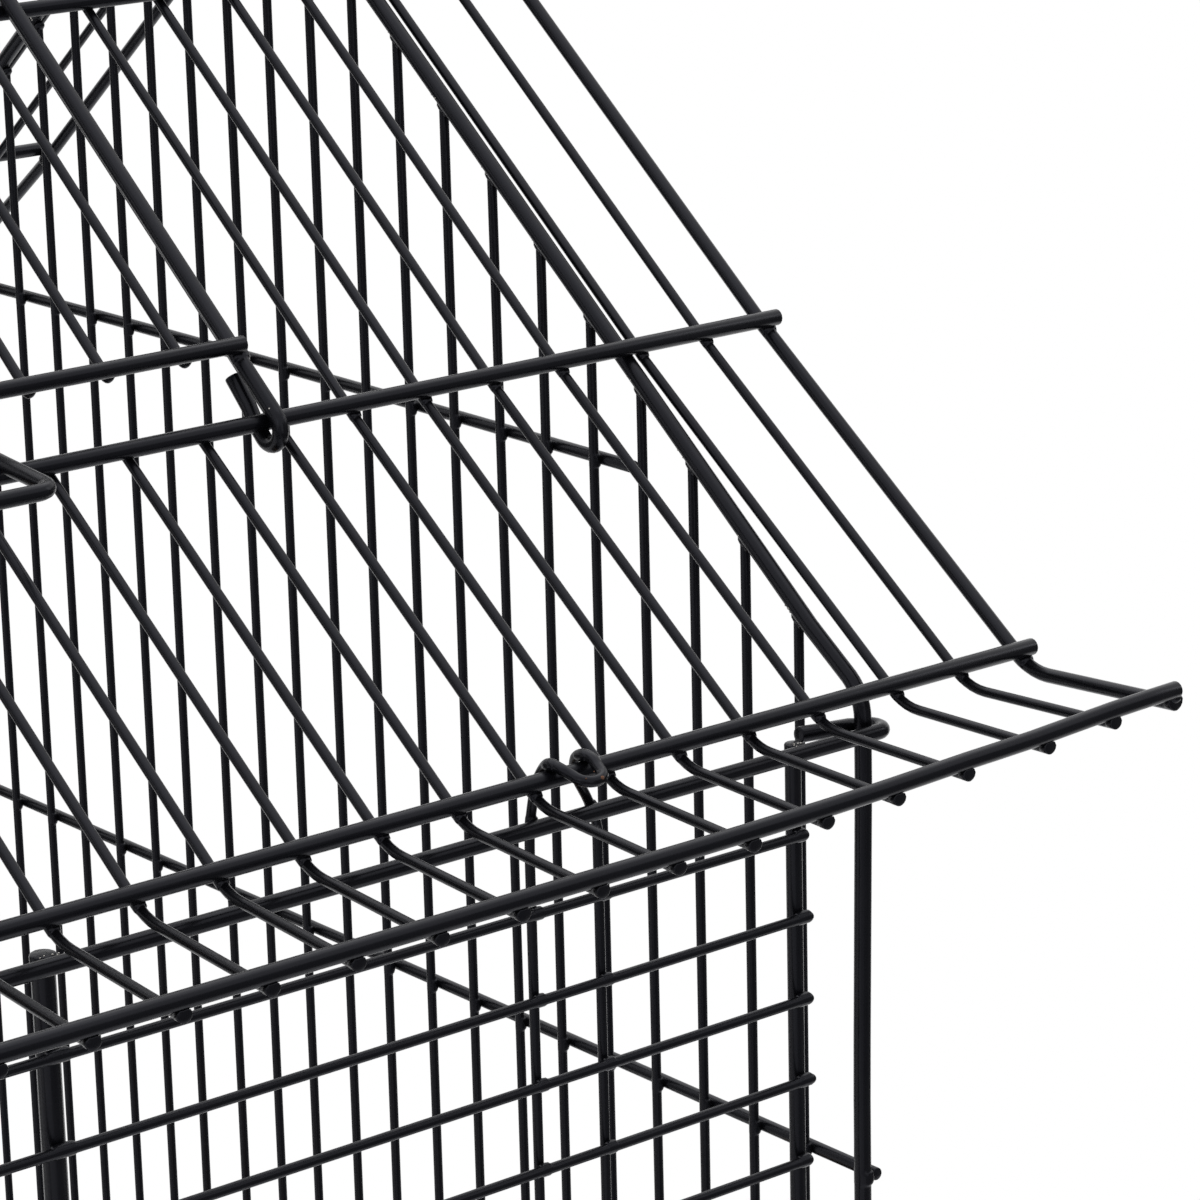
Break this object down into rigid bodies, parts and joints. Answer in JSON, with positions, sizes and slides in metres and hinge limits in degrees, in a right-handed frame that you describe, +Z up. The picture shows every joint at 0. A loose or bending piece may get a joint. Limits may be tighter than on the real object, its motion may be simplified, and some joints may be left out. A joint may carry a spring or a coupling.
{
  "type": "bird cage",
  "caption": "rolling wire bird cage with flared gable roof, opening roof hatch, front door, feeder flaps, slide-out tray and stand with shelf",
  "frame": {"origin": "centre of the cage's footprint, on the floor", "axes": "+Z up, front towards -Y, +X towards the side that carries the main door's hinge"},
  "size_m": [0.629, 0.478, 1.4618],
  "materials": {
    "powder_coat": "charcoal black powder coat, semi-gloss",
    "zinc_plated_steel": "zinc plated steel",
    "wheel_plastic": "moulded black nylon",
    "perch_wood": "plain turned hardwood",
    "cup_plastic": "moulded black plastic"
  },
  "bodies": {
    "cage_and_stand": {"side_frames": "powder_coat", "side_bars": "powder_coat", "side_rails": "powder_coat", "front_frame": "powder_coat", "front_wires": "powder_coat", "front_clips": "powder_coat", "back_frame": "powder_coat", "back_wires": "powder_coat", "back_clips": "powder_coat", "roof_front_rails": "powder_coat", "roof_front_wires": "powder_coat", "roof_back_rails": "powder_coat", "roof_back_wires": "powder_coat", "ridge_rings": "powder_coat", "hatch_rest": "powder_coat", "bolt_keeper": "powder_coat", "feed_cup_left": "cup_plastic", "feed_cup_right": "cup_plastic", "perches": "perch_wood", "base_sides": "powder_coat", "base_back": "powder_coat", "base_front": "powder_coat", "stand_left": "powder_coat", "stand_right": "powder_coat", "cross_bars": "powder_coat", "stand_bolts": "zinc_plated_steel", "shelf_frame": "powder_coat", "shelf_wires": "powder_coat", "caster_stems": "zinc_plated_steel"},
    "hatch": {"hatch_frame": "powder_coat", "hatch_wires": "powder_coat"},
    "main_door": {"door_frame": "powder_coat", "door_wires": "powder_coat", "door_latch_plate": "powder_coat"},
    "bolt": {"door_bolt": "zinc_plated_steel"},
    "feeder_flap_left": {"feeder_door_left": "powder_coat"},
    "feeder_flap_right": {"feeder_door_right": "powder_coat"},
    "swing": {"swing_hanger": "powder_coat", "swing_perch": "perch_wood"},
    "tray": {"tray_pan": "powder_coat", "tray_handle": "powder_coat"},
    "grate": {"grate_frame": "powder_coat", "grate_wires": "powder_coat"},
    "caster_fork_front_left": {"caster_fork_fl": "zinc_plated_steel"},
    "caster_wheel_front_left": {"caster_wheel_fl": "wheel_plastic"},
    "caster_fork_back_left": {"caster_fork_bl": "zinc_plated_steel"},
    "caster_wheel_back_left": {"caster_wheel_bl": "wheel_plastic"},
    "caster_fork_front_right": {"caster_fork_fr": "zinc_plated_steel"},
    "caster_wheel_front_right": {"caster_wheel_fr": "wheel_plastic"},
    "caster_fork_back_right": {"caster_fork_br": "zinc_plated_steel"},
    "caster_wheel_back_right": {"caster_wheel_br": "wheel_plastic"}
  },
  "joints": [
    {"name": "hatch_hinge", "type": "hinge", "parent": "cage_and_stand", "child": "hatch", "pos_m": [0, -0.12937, 1.35803], "axis": [1, 0, 0], "range_deg": [0, 95]},
    {"name": "main_door_hinge", "type": "hinge", "parent": "cage_and_stand", "child": "main_door", "pos_m": [0.1054, -0.19158, 1.05522], "axis": [0, 0, 1], "range_deg": [0, 100]},
    {"name": "bolt_slide", "type": "slide", "parent": "main_door", "child": "bolt", "axis": [-1, 0, 0], "range_m": [0, 0.02]},
    {"name": "feeder_flap_left_hinge", "type": "hinge", "parent": "cage_and_stand", "child": "feeder_flap_left", "pos_m": [-0.1536, -0.1945, 1.00048], "axis": [-1, 0, 0], "range_deg": [0, 100]},
    {"name": "feeder_flap_right_hinge", "type": "hinge", "parent": "cage_and_stand", "child": "feeder_flap_right", "pos_m": [0.1536, -0.1945, 1.00048], "axis": [-1, 0, 0], "range_deg": [0, 100]},
    {"name": "swing_pivot", "type": "hinge", "parent": "cage_and_stand", "child": "swing", "pos_m": [0, 0.00451, 1.4577], "axis": [1, 0, 0], "range_deg": [-25, 25]},
    {"name": "tray_slide", "type": "slide", "parent": "cage_and_stand", "child": "tray", "axis": [0, -1, 0], "range_m": [0, 0.36]},
    {"name": "grate_slide", "type": "slide", "parent": "cage_and_stand", "child": "grate", "axis": [0, -1, 0], "range_m": [0, 0.36]},
    {"name": "caster_swivel_front_left", "type": "hinge", "parent": "cage_and_stand", "child": "caster_fork_front_left", "pos_m": [-0.274, -0.188, 0.058], "axis": [0, 0, 1], "continuous": true},
    {"name": "caster_roll_front_left", "type": "hinge", "parent": "caster_fork_front_left", "child": "caster_wheel_front_left", "pos_m": [-0.274, -0.17, 0.025], "axis": [1, 0, 0], "continuous": true},
    {"name": "caster_swivel_back_left", "type": "hinge", "parent": "cage_and_stand", "child": "caster_fork_back_left", "pos_m": [-0.274, 0.188, 0.058], "axis": [0, 0, 1], "continuous": true},
    {"name": "caster_roll_back_left", "type": "hinge", "parent": "caster_fork_back_left", "child": "caster_wheel_back_left", "pos_m": [-0.274, 0.206, 0.025], "axis": [1, 0, 0], "continuous": true},
    {"name": "caster_swivel_front_right", "type": "hinge", "parent": "cage_and_stand", "child": "caster_fork_front_right", "pos_m": [0.274, -0.188, 0.058], "axis": [0, 0, 1], "continuous": true},
    {"name": "caster_roll_front_right", "type": "hinge", "parent": "caster_fork_front_right", "child": "caster_wheel_front_right", "pos_m": [0.274, -0.17, 0.025], "axis": [1, 0, 0], "continuous": true},
    {"name": "caster_swivel_back_right", "type": "hinge", "parent": "cage_and_stand", "child": "caster_fork_back_right", "pos_m": [0.274, 0.188, 0.058], "axis": [0, 0, 1], "continuous": true},
    {"name": "caster_roll_back_right", "type": "hinge", "parent": "caster_fork_back_right", "child": "caster_wheel_back_right", "pos_m": [0.274, 0.206, 0.025], "axis": [1, 0, 0], "continuous": true}
  ]
}
